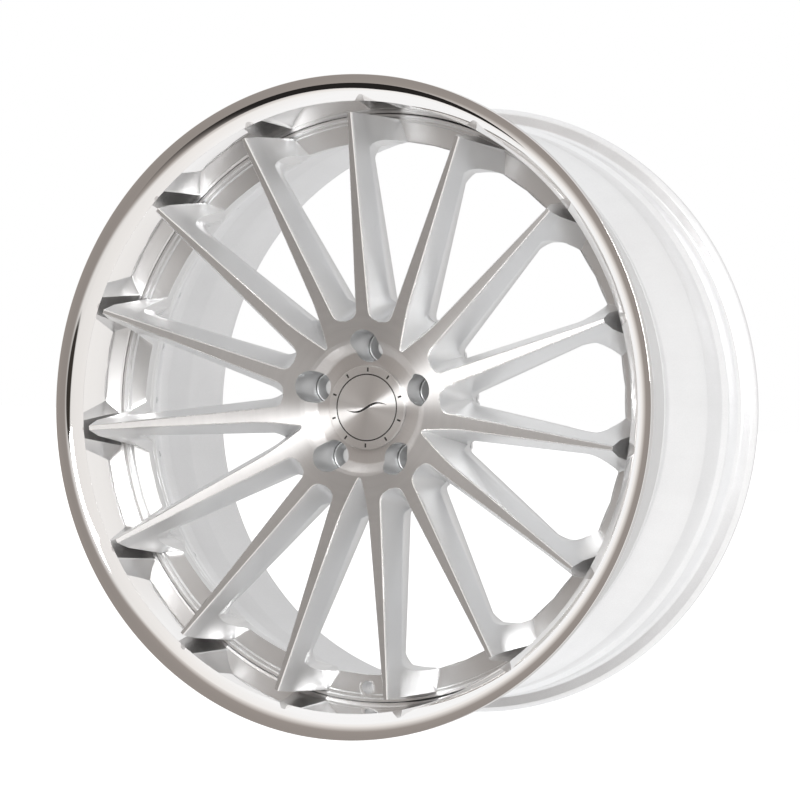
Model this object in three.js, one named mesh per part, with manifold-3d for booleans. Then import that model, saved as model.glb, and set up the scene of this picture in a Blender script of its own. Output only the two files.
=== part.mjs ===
// Forged three-piece road wheel, 22 x 10.5J, five bolts on 112 mm, fifteen spokes.
//
// Frame: millimetres, +Z up, wheel axis along Y, street side towards -Y.
// The origin is the middle of the rim width on the wheel axis. Depths in this file are
// measured inwards from the street-side flange, so depth 0 is y = -RIM_WIDTH / 2.
//
// The forged centre (hub, spokes and outer ring) is bolted from behind to the flanges of the
// polished outer rim half and the painted inner barrel. The bolts stay out of sight from the
// street side. The bore carries a push-in centre cap at the front and a centring ring behind.

import * as THREE from 'three';
import { ConvexGeometry } from 'three/addons/geometries/ConvexGeometry.js';
import { mergeVertices } from 'three/addons/utils/BufferGeometryUtils.js';
import Module from 'manifold-3d';

const wasm = await Module();
wasm.setup();

// ---------------------------------------------------------------- driving dimensions

const RIM_WIDTH = 291;              // over both flanges; 266.7 between the bead seats
const FLANGE_RADIUS = 296.7;
const BEAD_SEAT_RADIUS = 279.4;
const FLANGE_THICKNESS = 12.15;
const GAP = 0.3;                    // running or fitting clearance between pieces
const RIM_STEPS = 60;               // flat sides round the rim
const HUB_STEPS = 36;

const SPOKE_COUNT = 15;
const SPOKE_PITCH = (2 * Math.PI) / SPOKE_COUNT;
const SPOKE_END_RADIUS = 263;
const SPOKE_ROOT_RADIUS = 50;
const FACE_SLOPE = 0.223;           // the turned face drops this much per mm towards the hub
const FACE_TIP_DEPTH = 3.2;
const FLANK_SLOPE = 0.36;           // sideways per mm of depth
const SIDE_DRAFT = 0.5;

const RING_OUTER_RADIUS = 268.7;
const RING_INNER_RADIUS = 245;
const RING_FRONT_DEPTH = 72;
const RING_BACK_DEPTH = 87.7;
const POCKET_DEPTH = 78;            // floor of the ring between two spoke feet

const LIP_CREASE_RADIUS = 287.5;
const LIP_INNER_RADIUS = 274;
const LIP_INNER_DEPTH = 12;
const LIP_WALL_END_RADIUS = RING_OUTER_RADIUS + GAP;

const FLANGE_FRONT_DEPTH = RING_BACK_DEPTH + GAP;
const SPLIT_DEPTH = 93;             // where the outer half meets the inner barrel
const FLANGE_BACK_DEPTH = 98.3;
const FLANGE_BORE_RADIUS = 246;
const SEAM_RADIUS = 274.5;

const RIM_BOLT_COUNT = 30;
const RIM_BOLT_CIRCLE_RADIUS = 253;
const RIM_BOLT_SHANK_RADIUS = 3.4;
const RIM_BOLT_HEAD_RADIUS = 5.8;
const RIM_BOLT_TIP_DEPTH = 81;
const RIM_BOLT_HEAD_HEIGHT = 6.5;

const SEAL_INNER_RADIUS = 267;
const SEAL_OUTER_RADIUS = 269.4;

const PAD_DEPTH = 110.5;            // hub mounting pad, 35 mm outboard of the rim middle
const PAD_RADIUS = 75;
const HUB_FLOOR_DEPTH = 61;
const HUB_FLOOR_RADIUS = 52;
const HUB_RIM_RADIUS = 63;
const CAP_BORE_RADIUS = 35;
const REAR_BORE_RADIUS = 36.55;
const REAR_BORE_DEPTH = 97.5;

const LUG_COUNT = 5;
const LUG_CIRCLE_RADIUS = 56;
const LUG_POCKET_RADIUS = 14.6;
const LUG_POCKET_FLOOR = 95;
const LUG_HOLE_RADIUS = 8;
const LUG_SEAT_TOP = 88;
const LUG_SIDES = 16;

const VALVE_HOLE_RADIUS = 5.8;
const VALVE_SPOT_RADIUS = 8;
const VALVE_CIRCLE_RADIUS = 256.5;

const CAP_FACE_DEPTH = 57.8;
const CAP_RADIUS = 38.3;
const MEDALLION_RADIUS = 30.2;

// ---------------------------------------------------------------- finishes

const finish = (color, roughness, metalness) =>
  new THREE.MeshStandardMaterial({ color, roughness, metalness });

const machinedSilver = () => finish(0xc9c7c4, 0.32, 0.9);
const polishedAlloy = () => finish(0xe6e4e2, 0.06, 1.0);
const silverPaint = () => finish(0xd4d5d6, 0.38, 0.6);
const spunAlloy = () => finish(0xbab5b1, 0.25, 1.0);
const blackNylon = () => finish(0x1b1b1c, 0.6, 0.0);
const zincSteel = () => finish(0xa9abad, 0.35, 1.0);
const springSteel = () => finish(0x8f9092, 0.3, 1.0);
const sealRubber = () => finish(0x161616, 0.8, 0.0);

// ---------------------------------------------------------------- solids

const yOf = (depth) => depth - RIM_WIDTH / 2;

// A closed geometry becomes a solid with its faces pointing outwards.
function solidFrom(geometry) {
  const bare = geometry.index ? geometry.clone() : geometry;
  bare.deleteAttribute('normal');
  if (bare.getAttribute('uv')) bare.deleteAttribute('uv');
  const welded = mergeVertices(bare, 1e-4);
  const vertProperties = new Float32Array(welded.getAttribute('position').array);
  const corners = [];
  const index = welded.index.array;
  for (let i = 0; i < index.length; i += 3) {
    const [a, b, c] = [index[i], index[i + 1], index[i + 2]];
    if (a !== b && b !== c && a !== c) corners.push(a, b, c);
  }
  const at = (i) => new THREE.Vector3().fromArray(vertProperties, 3 * i);
  let volume = 0;
  for (let i = 0; i < corners.length; i += 3) {
    volume += at(corners[i]).dot(at(corners[i + 1]).cross(at(corners[i + 2])));
  }
  const outward = volume > 0 ? corners : corners.reverse();
  const triVerts = Uint32Array.from(outward);
  return new wasm.Manifold(new wasm.Mesh({ numProp: 3, vertProperties, triVerts }));
}

// A ring or plug turned about the wheel axis from a profile of [radius, depth] corners.
function turned(profile, steps = RIM_STEPS) {
  const points = profile.map(([radius, depth]) => new THREE.Vector2(radius, yOf(depth)));
  const touchesAxis = profile[0][0] === 0;
  if (!touchesAxis) points.push(points[0].clone());
  return solidFrom(new THREE.LatheGeometry(points, steps));
}

// The convex body around a set of [across, radius, depth] corners of a part that lies
// along +Z, turned about the wheel axis by an angle.
function hull(corners, angle = 0) {
  const points = corners.map(([across, radius, depth]) =>
    new THREE.Vector3(across, yOf(depth), radius));
  const geometry = new ConvexGeometry(points);
  geometry.rotateY(angle);
  return solidFrom(geometry);
}

const mirrored = (corners) => corners.flatMap(([x, r, d]) => [[x, r, d], [-x, r, d]]);

// A round pin along the wheel axis, its centre on a circle of the given radius.
function pin(radius, from, to, circleRadius, angle, sides) {
  const geometry = new THREE.CylinderGeometry(radius, radius, to - from, sides);
  geometry.translate(0, yOf((from + to) / 2), circleRadius);
  geometry.rotateY(angle);
  return solidFrom(geometry);
}

const joined = (solids) => wasm.Manifold.union(solids);

function meshOf(name, solid, material) {
  const { vertProperties, triVerts } = solid.getMesh();
  const geometry = new THREE.BufferGeometry();
  geometry.setAttribute('position', new THREE.BufferAttribute(vertProperties, 3));
  geometry.setIndex(new THREE.BufferAttribute(triVerts, 1));
  geometry.computeVertexNormals();
  const mesh = new THREE.Mesh(geometry, material);
  mesh.name = name;
  return mesh;
}

const turns = (count, start = 0) =>
  Array.from({ length: count }, (_, k) => start + (k * 2 * Math.PI) / count);

// ---------------------------------------------------------------- forged centre

const faceDepth = (radius) => FACE_TIP_DEPTH + FACE_SLOPE * (SPOKE_END_RADIUS - radius);

// Half of the spoke's section at a radius, as [half width, depth] corners: the narrow turned
// face, the sloping flank, the nearly upright side and the back.
function spokeSection(radius) {
  const inward = SPOKE_END_RADIUS - radius;
  const faceHalf = 2 + 0.0275 * inward;
  const face = faceDepth(radius);
  const shoulder = face + 15 + 0.063 * inward;
  const shoulderHalf = faceHalf + FLANK_SLOPE * (shoulder - face);
  const side = shoulder + 5.5 + 0.06 * inward;
  return [
    [faceHalf, face],
    [shoulderHalf, shoulder],
    [shoulderHalf + SIDE_DRAFT, side],
    [shoulderHalf + SIDE_DRAFT, side + 2],
    [shoulderHalf - 3, side + 6],
  ];
}

const sectionCorners = (radius) =>
  mirrored(spokeSection(radius).map(([half, depth]) => [half, radius, depth]));

function spoke(angle) {
  const corners = [...sectionCorners(SPOKE_ROOT_RADIUS), ...sectionCorners(SPOKE_END_RADIUS)];
  return hull(corners, angle);
}

// The foot spreads from the back of the spoke's end down onto the ring.
function spokeFoot(angle) {
  return hull(mirrored([
    [7.4, SPOKE_END_RADIUS, 18.2],
    [16, SPOKE_END_RADIUS, RING_FRONT_DEPTH + 0.5],
    [16, SPOKE_END_RADIUS, RING_BACK_DEPTH],
    [24, RING_INNER_RADIUS + 1.5, POCKET_DEPTH - 0.5],
    [24, RING_INNER_RADIUS + 1.5, RING_BACK_DEPTH],
    [10, 232, 34],
    [7, 232, 40],
    [10.3, 238, RING_FRONT_DEPTH],
  ]), angle);
}

// Beside each lug the turned face of the hub runs on outwards between two spokes.
function hubWeb(angle) {
  const reach = [[58, 7], [78, 4.5], [80, 2]];
  const corners = reach.flatMap(([radius, across]) => [
    [across, radius, faceDepth(radius)],
    [across, radius + 12, 96],
  ]);
  return hull(mirrored(corners), angle);
}

function outerRing() {
  return turned([
    [RING_OUTER_RADIUS, RING_FRONT_DEPTH],
    [262.5, RING_FRONT_DEPTH + 0.6],
    [261.5, POCKET_DEPTH - 1.5],
    [RING_INNER_RADIUS + 1, POCKET_DEPTH],
    [RING_INNER_RADIUS, POCKET_DEPTH + 1.5],
    [RING_INNER_RADIUS, RING_BACK_DEPTH],
    [RING_OUTER_RADIUS, RING_BACK_DEPTH],
  ]);
}

function hubBody() {
  return turned([
    [CAP_BORE_RADIUS, 44],
    [64, faceDepth(64)],
    [68, 52],
    [96, 84],
    [98, 90],
    [95, 98],
    [PAD_RADIUS + 4, 106],
    [PAD_RADIUS, PAD_DEPTH],
    [REAR_BORE_RADIUS + 2, PAD_DEPTH],
    [REAR_BORE_RADIUS, PAD_DEPTH - 2],
    [REAR_BORE_RADIUS, REAR_BORE_DEPTH],
    [CAP_BORE_RADIUS, REAR_BORE_DEPTH],
  ], HUB_STEPS);
}

// What the lathe takes out of the front of the hub: the floor round the cap and its wall.
function hubRecess() {
  return turned([
    [0, -1],
    [HUB_RIM_RADIUS + 30, -1],
    [HUB_RIM_RADIUS, faceDepth(HUB_RIM_RADIUS)],
    [60.5, faceDepth(HUB_RIM_RADIUS) + 1.4],
    [54.5, HUB_FLOOR_DEPTH - 3.2],
    [HUB_FLOOR_RADIUS, HUB_FLOOR_DEPTH],
    [0, HUB_FLOOR_DEPTH],
  ], HUB_STEPS);
}

function boreCutter() {
  return turned([
    [0, HUB_FLOOR_DEPTH - 20],
    [CAP_BORE_RADIUS, HUB_FLOOR_DEPTH - 20],
    [CAP_BORE_RADIUS, REAR_BORE_DEPTH],
    [REAR_BORE_RADIUS, REAR_BORE_DEPTH],
    [REAR_BORE_RADIUS, PAD_DEPTH + 5],
    [0, PAD_DEPTH + 5],
  ], HUB_STEPS);
}

function lugCutters() {
  return turns(LUG_COUNT).flatMap((angle) => [
    pin(LUG_POCKET_RADIUS, -5, LUG_POCKET_FLOOR, LUG_CIRCLE_RADIUS, angle, LUG_SIDES),
    pin(LUG_HOLE_RADIUS, 50, PAD_DEPTH + 5, LUG_CIRCLE_RADIUS, angle, LUG_SIDES),
  ]);
}

// Six-sided clearance holes for the rim bolts.
function rimBoltHoles(from, to) {
  return joined(turns(RIM_BOLT_COUNT, Math.PI / RIM_BOLT_COUNT).map((angle) =>
    pin(RIM_BOLT_SHANK_RADIUS + GAP, from, to, RIM_BOLT_CIRCLE_RADIUS, angle, 6)));
}

// The valve sits at the bottom of the wheel, between two spokes.
function valveCutter() {
  return joined([
    pin(VALVE_SPOT_RADIUS, 60, POCKET_DEPTH + 0.5, VALVE_CIRCLE_RADIUS, Math.PI, 16),
    pin(VALVE_HOLE_RADIUS, 60, 120, VALVE_CIRCLE_RADIUS, Math.PI, 12),
  ]);
}

function wheelCentre() {
  const spokeAngles = turns(SPOKE_COUNT);
  const webAngles = turns(LUG_COUNT).flatMap((angle) =>
    [angle - SPOKE_PITCH / 2, angle + SPOKE_PITCH / 2]);
  const blank = joined([
    hubBody(),
    outerRing(),
    ...webAngles.map(hubWeb),
    ...spokeAngles.map(spoke),
    ...spokeAngles.map(spokeFoot),
  ]);
  const cutters = joined([hubRecess(), boreCutter(), ...lugCutters()]);
  return blank
    .subtract(cutters)
    .subtract(rimBoltHoles(RIM_BOLT_TIP_DEPTH - 1, RING_BACK_DEPTH + 5))
    .subtract(valveCutter());
}

// ---------------------------------------------------------------- rim halves

function outerRimHalf() {
  const body = turned([
    [FLANGE_RADIUS, 3],
    [295.2, 0.6],
    [293, 0],
    [LIP_CREASE_RADIUS, 0],
    [LIP_INNER_RADIUS, LIP_INNER_DEPTH],
    [LIP_WALL_END_RADIUS, RING_FRONT_DEPTH],
    [LIP_WALL_END_RADIUS, FLANGE_FRONT_DEPTH],
    [FLANGE_BORE_RADIUS, FLANGE_FRONT_DEPTH],
    [FLANGE_BORE_RADIUS, SPLIT_DEPTH],
    [SEAL_INNER_RADIUS - GAP, SPLIT_DEPTH],
    [SEAL_INNER_RADIUS - GAP, SPLIT_DEPTH - 1.6],
    [SEAL_OUTER_RADIUS + GAP, SPLIT_DEPTH - 1.6],
    [SEAL_OUTER_RADIUS + GAP, SPLIT_DEPTH],
    [SEAM_RADIUS, SPLIT_DEPTH],
    [SEAM_RADIUS, 60],
    [281.2, 42],
    [281.2, 38],
    [BEAD_SEAT_RADIUS, 34],
    [BEAD_SEAT_RADIUS + 0.6, 16],
    [283, FLANGE_THICKNESS],
    [292, FLANGE_THICKNESS - 1],
    [FLANGE_RADIUS, 8],
  ]);
  return body
    .subtract(rimBoltHoles(FLANGE_FRONT_DEPTH - 5, SPLIT_DEPTH + 5))
    .subtract(valveCutter());
}

function innerBarrel() {
  const front = SPLIT_DEPTH + GAP;
  const rear = RIM_WIDTH;
  const body = turned([
    [FLANGE_BORE_RADIUS, front],
    [SEAM_RADIUS, front],
    [SEAM_RADIUS, 99],
    [262, 127],
    [262, 138],
    [274, 186],
    [277, 200],
    [277, 240],
    [281.2, 246],
    [281.2, 250],
    [BEAD_SEAT_RADIUS, 255],
    [BEAD_SEAT_RADIUS + 0.6, rear - 16],
    [283, rear - FLANGE_THICKNESS],
    [292, rear - FLANGE_THICKNESS + 1],
    [FLANGE_RADIUS, rear - 8],
    [FLANGE_RADIUS, rear - 3],
    [293.5, rear],
    [285, rear],
    [280, rear - 2.5],
    [272, rear - 22],
    [271.5, 203],
    [257.5, 139],
    [257.5, 124],
    [263.5, 110],
    [263.5, FLANGE_BACK_DEPTH],
    [FLANGE_BORE_RADIUS, FLANGE_BACK_DEPTH],
  ]);
  return body
    .subtract(rimBoltHoles(front - 5, FLANGE_BACK_DEPTH + 5))
    .subtract(valveCutter());
}

// The seal lies in a groove of the outer half, squeezed by the barrel flange.
function rimSeal() {
  return turned([
    [SEAL_INNER_RADIUS, SPLIT_DEPTH - 1.3],
    [SEAL_OUTER_RADIUS, SPLIT_DEPTH - 1.3],
    [SEAL_OUTER_RADIUS, SPLIT_DEPTH],
    [SEAL_INNER_RADIUS, SPLIT_DEPTH],
  ]);
}

// One rim bolt, threaded into the ring of the centre from behind.
function rimBolt(angle) {
  const seat = FLANGE_BACK_DEPTH + GAP;
  return joined([
    pin(RIM_BOLT_SHANK_RADIUS, RIM_BOLT_TIP_DEPTH, seat + 1, RIM_BOLT_CIRCLE_RADIUS, angle, 6),
    pin(RIM_BOLT_HEAD_RADIUS, seat, seat + RIM_BOLT_HEAD_HEIGHT, RIM_BOLT_CIRCLE_RADIUS, angle, 6),
  ]);
}

// ---------------------------------------------------------------- hub fittings

// A steel insert with the cone that the wheel bolt tightens against.
function lugSeat(angle) {
  const sleeve = pin(LUG_POCKET_RADIUS - GAP, LUG_SEAT_TOP, LUG_POCKET_FLOOR - GAP,
    LUG_CIRCLE_RADIUS, angle, LUG_SIDES);
  const cone = new THREE.CylinderGeometry(LUG_HOLE_RADIUS, LUG_POCKET_RADIUS - 2, 6, LUG_SIDES);
  cone.translate(0, yOf(LUG_SEAT_TOP + 2.99), LUG_CIRCLE_RADIUS);
  cone.rotateY(angle);
  const hole = pin(LUG_HOLE_RADIUS, 80, 110, LUG_CIRCLE_RADIUS, angle, LUG_SIDES);
  return sleeve.subtract(joined([solidFrom(cone), hole]));
}

// Adapts the rear bore to the vehicle hub; its thin collar lies in the bore's chamfer.
function centringRing() {
  const inner = 33.3;
  const outer = REAR_BORE_RADIUS - GAP;
  return turned([
    [inner, REAR_BORE_DEPTH + GAP],
    [outer, REAR_BORE_DEPTH + GAP],
    [outer, PAD_DEPTH - 2 - GAP],
    [outer + 1.5, PAD_DEPTH - GAP],
    [inner, PAD_DEPTH - GAP],
  ], HUB_STEPS);
}

function capBody() {
  const skirtOuter = CAP_BORE_RADIUS - 0.6;
  const skirtInner = skirtOuter - 2.6;
  const shell = turned([
    [0, CAP_FACE_DEPTH + 1.8],
    [MEDALLION_RADIUS, CAP_FACE_DEPTH + 1.8],
    [MEDALLION_RADIUS, HUB_FLOOR_DEPTH],
    [skirtOuter, HUB_FLOOR_DEPTH],
    [skirtOuter, 80],
    [skirtInner, 80],
    [skirtInner, 64],
    [0, 64],
  ], HUB_STEPS);
  const slots = turns(3).map((angle) => {
    const slot = new THREE.BoxGeometry(3, 14, 2 * CAP_BORE_RADIUS + 4);
    slot.translate(0, yOf(75), 0);
    slot.rotateY(angle / 2);
    return solidFrom(slot);
  });
  return shell.subtract(joined(slots));
}

function capBezel() {
  return turned([
    [MEDALLION_RADIUS + GAP, CAP_FACE_DEPTH],
    [CAP_RADIUS - 0.4, CAP_FACE_DEPTH],
    [CAP_RADIUS, CAP_FACE_DEPTH + 0.4],
    [CAP_RADIUS, HUB_FLOOR_DEPTH - GAP],
    [MEDALLION_RADIUS + GAP, HUB_FLOOR_DEPTH - GAP],
  ], HUB_STEPS);
}

function capMedallion() {
  return turned([
    [0, CAP_FACE_DEPTH],
    [MEDALLION_RADIUS, CAP_FACE_DEPTH],
    [MEDALLION_RADIUS, CAP_FACE_DEPTH + 1.5],
    [0, CAP_FACE_DEPTH + 1.5],
  ], HUB_STEPS);
}

// The wire ring that spreads the cap's claws.
function capSpringRing() {
  const outer = CAP_BORE_RADIUS - 3.2 - GAP;
  return turned([
    [outer - 1.6, 76],
    [outer, 76],
    [outer, 77.6],
    [outer - 1.6, 77.6],
  ], HUB_STEPS);
}

// ---------------------------------------------------------------- assembly

const wheel = new THREE.Group();
const add = (name, solid, material) => wheel.add(meshOf(name, solid, material));
const numbered = (name, k) => `${name}_${String(k + 1).padStart(2, '0')}`;

add('wheel_centre', wheelCentre(), machinedSilver());
add('outer_rim_half', outerRimHalf(), polishedAlloy());
add('inner_barrel', innerBarrel(), silverPaint());
add('rim_seal', rimSeal(), sealRubber());
turns(RIM_BOLT_COUNT, Math.PI / RIM_BOLT_COUNT).forEach((angle, k) =>
  add(numbered('rim_bolt', k), rimBolt(angle), zincSteel()));
turns(LUG_COUNT).forEach((angle, k) =>
  add(numbered('lug_seat', k), lugSeat(angle), zincSteel()));
add('centring_ring', centringRing(), blackNylon());
add('cap_body', capBody(), blackNylon());
add('cap_bezel', capBezel(), spunAlloy());
add('cap_medallion', capMedallion(), spunAlloy());
add('cap_spring_ring', capSpringRing(), springSteel());

export default wheel;
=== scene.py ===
"""Forged three-piece road wheel: the fine surfaces and finishes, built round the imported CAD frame.

The forged centre is made as the real one is: a turned blank, then valleys, windows, lug pockets
and holes milled out of it. The rim halves, the cap and the small hardware are turned profiles.
Lengths inside this file are millimetres until a mesh is written, and a depth is measured inwards
from the street side of the wheel along its axis, +Y.
"""

import math

import bmesh
import bpy
import numpy as np
from bpy.props import FloatProperty, FloatVectorProperty, IntProperty, PointerProperty
from mathutils import Matrix, Vector


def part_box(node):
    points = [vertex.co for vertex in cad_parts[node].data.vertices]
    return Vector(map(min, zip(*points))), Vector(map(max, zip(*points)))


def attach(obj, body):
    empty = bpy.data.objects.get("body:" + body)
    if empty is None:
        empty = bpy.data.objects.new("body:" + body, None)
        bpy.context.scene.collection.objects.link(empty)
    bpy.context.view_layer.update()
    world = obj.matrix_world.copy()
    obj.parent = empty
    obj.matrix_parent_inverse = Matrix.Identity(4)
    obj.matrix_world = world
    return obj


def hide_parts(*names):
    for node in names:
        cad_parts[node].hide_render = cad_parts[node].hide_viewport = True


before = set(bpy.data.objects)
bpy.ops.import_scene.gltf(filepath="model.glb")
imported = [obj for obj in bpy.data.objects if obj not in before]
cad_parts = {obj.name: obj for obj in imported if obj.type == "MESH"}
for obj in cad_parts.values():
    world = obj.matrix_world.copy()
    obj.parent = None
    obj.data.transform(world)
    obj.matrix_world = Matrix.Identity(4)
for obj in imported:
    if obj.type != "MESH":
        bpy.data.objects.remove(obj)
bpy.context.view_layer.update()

bl_info = {
    "name": "Forged road wheel",
    "version": (1, 0, 0),
    "blender": (4, 5, 0),
    "location": "3D View > Sidebar > Wheel",
    "description": "Builds the surfaces, finishes and studio of a three-piece forged wheel",
    "category": "Add Mesh",
}

MM = 0.001
OUTER_HALF_LOW, OUTER_HALF_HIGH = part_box("outer_rim_half")
FRONT = OUTER_HALF_LOW[1] / MM
FLANGE_RADIUS = OUTER_HALF_HIGH[2] / MM

RIM_BODY = "rim_assembly"
CAP_BODY = "centre_cap"
ADAPTER_BODY = "hub_adapter"


# ---------------------------------------------------------------- sizes taken from the frame

def depth_span(node):
    """The least and greatest depth of a CAD node, in mm behind the street-side flange."""
    low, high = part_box(node)
    return low[1] / MM - FRONT, high[1] / MM - FRONT


def outer_radius(node):
    """The greatest distance of a round CAD node from the wheel axis, in mm."""
    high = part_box(node)[1]
    return max(high[0], high[2]) / MM


def place_on_wheel(node):
    """(circle radius in mm, angle from straight up in radians) of a small CAD node's middle."""
    low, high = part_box(node)
    x = (low[0] + high[0]) / 2 / MM
    z = (low[2] + high[2]) / 2 / MM
    return math.hypot(x, z), math.atan2(x, z)


RING_RADIUS = outer_radius("wheel_centre")
TIP_DEPTH, PAD_DEPTH = depth_span("wheel_centre")
BOLT_NODES = sorted(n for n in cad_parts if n.startswith("rim_bolt"))
SEAT_NODES = sorted(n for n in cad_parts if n.startswith("lug_seat"))
LUG_CIRCLE = place_on_wheel(SEAT_NODES[0])[0]
BOLT_CIRCLE = place_on_wheel(BOLT_NODES[0])[0]

SPOKE_COUNT = 15
HALF_PITCH = math.pi / SPOKE_COUNT
END_RADIUS = 263.0           # where the spokes stop, short of the polished wall
END_FOOT_RADIUS = 264.2
FACE_SLOPE = 0.223           # the turned face drops this much per mm towards the hub
SHOULDER_DROP = 15.0         # flank height at the spoke's end
SHOULDER_GROWTH = 0.063
SIDE_HEIGHT = 5.5
SIDE_GROWTH = 0.06
BACK_ROUNDING = 6.0
RING_FOOT = 226.0            # where the spokes' backs turn down into the ring
RING_INNER = 245.0
POCKET_EDGE = 262.0
POCKET_DEPTH = 78.0
RING_BACK = 87.7
HUB_RIM = 62.6
HUB_FLOOR_RADIUS = 52.0
HUB_FLOOR_DEPTH = 61.0
CAP_BORE = 35.0
REAR_BORE = 36.55
REAR_BORE_DEPTH = 97.5
WINDOW_START = 97.0
VALVE_CIRCLE = 256.5
VALVE_RADIUS = 5.8
RING_STEP_RADIUS = 236.5     # between the spokes' backs and the ring's pocket
THROUGH = 125.0              # a depth behind everything that is milled
GROOVE_DEPTH = 75.6          # floor of the narrow groove outside the spokes' ends
LUG_POCKET_RADIUS = 14.6
LUG_POCKET_DEPTH = 95.0
LUG_HOLE_RADIUS = 8.0


# ---------------------------------------------------------------- adjustable values

class WheelSizes(bpy.types.PropertyGroup):
    face_half_width: FloatProperty(
        name="Face half width", description="Half width of a spoke's turned face at its end",
        default=2.0 * MM, min=0.5 * MM, subtype="DISTANCE", unit="LENGTH")
    face_taper: FloatProperty(
        name="Face taper", description="How much the half width grows per unit towards the hub",
        default=0.0275, min=0.0, max=0.1)
    flank_lean: FloatProperty(
        name="Flank lean", description="Sideways run of the spoke's flank per unit of depth",
        default=0.36, min=0.1, max=1.0)
    edge_break: FloatProperty(
        name="Edge break", description="Width of the bright broken edge round the turned face",
        default=0.7 * MM, min=0.1 * MM, subtype="DISTANCE", unit="LENGTH")
    rim_steps: IntProperty(
        name="Rim steps", description="Flats round the rim halves", default=384, min=96, max=720)


def colour_property(name, description, default):
    return FloatVectorProperty(name=name, description=description, default=default, size=3,
                               subtype="COLOR", min=0.0, max=1.0)


class WheelFinishes(bpy.types.PropertyGroup):
    alloy: colour_property("Alloy", "Colour of turned and polished alloy", (0.93, 0.92, 0.915))
    paint: colour_property("Silver paint", "Colour of the silver paint", (0.83, 0.835, 0.845))
    dark: colour_property("Black fill", "Colour of the engraved lines' filling",
                          (0.012, 0.011, 0.011))
    floor: colour_property("Floor", "Colour of the studio floor", (0.93, 0.93, 0.93))


def sizes():
    return bpy.context.scene.wheel_sizes


def finishes():
    return bpy.context.scene.wheel_finishes


# ---------------------------------------------------------------- meshes

def on_wheel(radius, angle, depth):
    """Points in metres: x = radius sin(angle), y = front + depth, z = radius cos(angle)."""
    radius, angle, depth = np.broadcast_arrays(radius, angle, depth)
    return np.stack([
        radius * np.sin(angle),
        FRONT + depth,
        radius * np.cos(angle),
    ], -1) * MM


def grid_quads(rows, columns, wrap_rows=False, wrap_columns=False):
    """Corner numbers of the cells of a rows x columns grid of points, row by row."""
    i = np.arange(rows if wrap_rows else rows - 1)
    j = np.arange(columns if wrap_columns else columns - 1)
    i, j = np.meshgrid(i, j, indexing="ij")
    i, j = i.ravel(), j.ravel()
    i2, j2 = (i + 1) % rows, (j + 1) % columns
    return np.stack([i * columns + j, i2 * columns + j, i2 * columns + j2, i * columns + j2], 1)


CREASE = math.radians(30.0)      # edges that turn by more than this stay sharp
PIECE_WELD = (2e-6, 1e-6)        # points this close merge, edges shorter than this go, in metres
TOOL_WELD = (3e-6, 2e-6)


def new_object(name, data):
    thing = bpy.data.objects.new(name, data)
    bpy.context.scene.collection.objects.link(thing)
    return thing


def mesh_object(name, points, faces, face_finish, finish_list, weld=None, watertight=False):
    """A mesh object from points (n, 3) and the corner numbers of its faces, turned outward.

    face_finish holds one finish number for each face.
    """
    mesh = bpy.data.meshes.new(name)
    mesh.from_pydata(points, [], faces)
    mesh.polygons.foreach_set("material_index", np.asarray(face_finish, np.int32))
    for material in finish_list:
        mesh.materials.append(material)
    bm = bmesh.new()
    bm.from_mesh(mesh)
    if weld:
        bmesh.ops.remove_doubles(bm, verts=bm.verts, dist=weld[0])
        bmesh.ops.dissolve_degenerate(bm, edges=bm.edges, dist=weld[1])
    bmesh.ops.recalc_face_normals(bm, faces=bm.faces)
    if watertight and any(len(edge.link_faces) != 2 for edge in bm.edges):
        raise RuntimeError(f"{name} has open edges")
    bm.to_mesh(mesh)
    bm.free()
    return new_object(name, mesh)


def smooth_with_creases(mesh):
    mesh.polygons.foreach_set("use_smooth", np.ones(len(mesh.polygons), bool))
    mesh.set_sharp_from_angle(angle=CREASE)
    mesh.update()


def piece_from(name, points, faces, face_finish, finish_list):
    """A piece with its doubles merged, shaded smooth between its creases."""
    piece = mesh_object(name, points.reshape(-1, 3), faces.tolist(), face_finish, finish_list,
                        PIECE_WELD)
    smooth_with_creases(piece.data)
    return piece


def rounded(corners, step=12.0):
    """A closed profile with its corners rounded.

    Each corner is (radius, depth, rounding, finish): an arc of that rounding takes the place of
    the corner, one point for each 'step' degrees of turn, and the finish number belongs to the
    run that leaves the corner. Gives (points, finish of the run that leaves each point).
    """
    place = np.array([c[:2] for c in corners], float)
    points, runs = [], []
    for k, (_, _, rounding, finish) in enumerate(corners):
        here, before, after = place[k], place[k - 1], place[(k + 1) % len(place)]
        back = (before - here) / np.linalg.norm(before - here)
        ahead = (after - here) / np.linalg.norm(after - here)
        turn = math.pi - math.acos(float(np.clip(back @ ahead, -1, 1)))
        reach = rounding * math.tan(turn / 2)
        longest = 0.48 * min(np.linalg.norm(before - here), np.linalg.norm(after - here))
        reach = min(reach, longest)
        if reach < 1e-3:
            points.append(here)
            runs.append(finish)
            continue
        count = max(2, math.ceil(math.degrees(turn) / step) + 1)
        t = np.linspace(0, 1, count)[:, None]
        start, end = here + back * reach, here + ahead * reach
        bend = math.cos(turn / 2)
        weight = 2 * t * (1 - t) * bend
        total = (1 - t) ** 2 + weight + t ** 2
        arc = ((1 - t) ** 2 * start + weight * here + t ** 2 * end) / total
        points.extend(arc)
        runs.extend([finish] * count)
    return np.array(points), np.array(runs)


def turned(name, profile, runs, finish_list, steps, closed=True):
    """A profile of (radius, depth) points carried round the wheel axis.

    Point (i, j) is at angle 2 pi j / steps with the radius and depth of profile point i. A
    profile that starts and ends on the axis is closed by its poles, any other by its last run.
    """
    angle = np.linspace(0, 2 * math.pi, steps, endpoint=False)
    points = on_wheel(profile[:, :1], angle[None, :], profile[:, 1:])
    faces = grid_quads(len(profile), steps, wrap_rows=closed, wrap_columns=True)
    face_rows = len(profile) if closed else len(profile) - 1
    return piece_from(name, points, faces, np.repeat(runs[:face_rows], steps), finish_list)


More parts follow.
